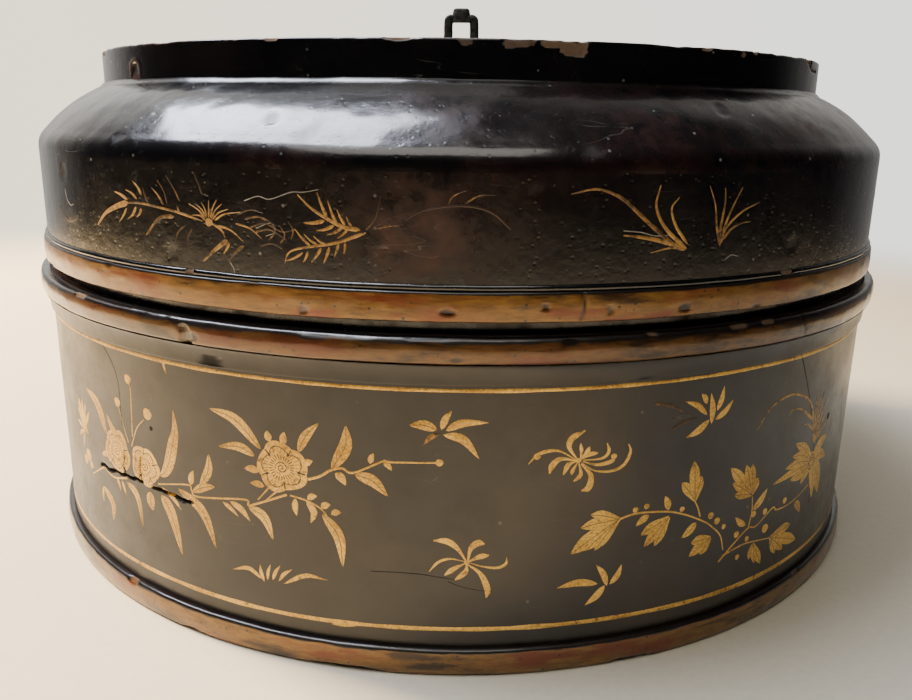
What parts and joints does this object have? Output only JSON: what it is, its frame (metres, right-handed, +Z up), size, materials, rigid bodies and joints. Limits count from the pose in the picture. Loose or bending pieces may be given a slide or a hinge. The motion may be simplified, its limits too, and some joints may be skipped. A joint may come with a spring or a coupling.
{
  "type": "hat box",
  "caption": "Round lacquered bent-wood hat box with gilt rim bands, a stepped lift-off lid and a small iron bail handle on top.",
  "frame": {"origin": "centre of the footprint on the ground", "axes": "+Z up along the box's round axis, -Y towards the front, +X along the bail's swing axis"},
  "size_m": [0.3879, 0.3878, 0.229],
  "materials": {
    "black_lacquer": "black lacquer over bent wood, polished, worn at the edges",
    "gilt_lacquer": "bronze-gold lacquer over red, mottled and rubbed",
    "inner_lacquer": "matt red-brown lacquer",
    "bamboo": "split bamboo",
    "iron": "hand-forged iron, dark and pitted"
  },
  "bodies": {
    "base": {"floor_board_left": "inner_lacquer", "floor_board_middle": "inner_lacquer", "floor_board_right": "inner_lacquer", "base_wall": "black_lacquer", "foot_band": "gilt_lacquer", "base_rim_band": "gilt_lacquer", "base_cove_strip": "black_lacquer", "base_inner_rim": "black_lacquer", "floor_pins": "bamboo"},
    "lid": {"lid_wall": "black_lacquer", "lid_liner": "inner_lacquer", "lid_rim_band": "gilt_lacquer", "lid_bead": "black_lacquer", "lid_shoulder": "black_lacquer", "lid_collar": "black_lacquer", "top_board_left": "black_lacquer", "top_board_middle": "black_lacquer", "top_board_right": "black_lacquer", "top_pins": "bamboo", "plate_left": "iron", "plate_right": "iron", "eye_pin_left": "iron", "eye_pin_right": "iron"},
    "bail": {"bail": "iron"}
  },
  "joints": [
    {"name": "lid_lift", "type": "slide", "parent": "base", "child": "lid", "axis": [0, 0, 1], "range_m": [0, 0.18]},
    {"name": "bail_swing", "type": "hinge", "parent": "lid", "child": "bail", "pos_m": [0, 0, 0.2074], "axis": [1, 0, 0], "range_deg": [-95, 95]}
  ]
}
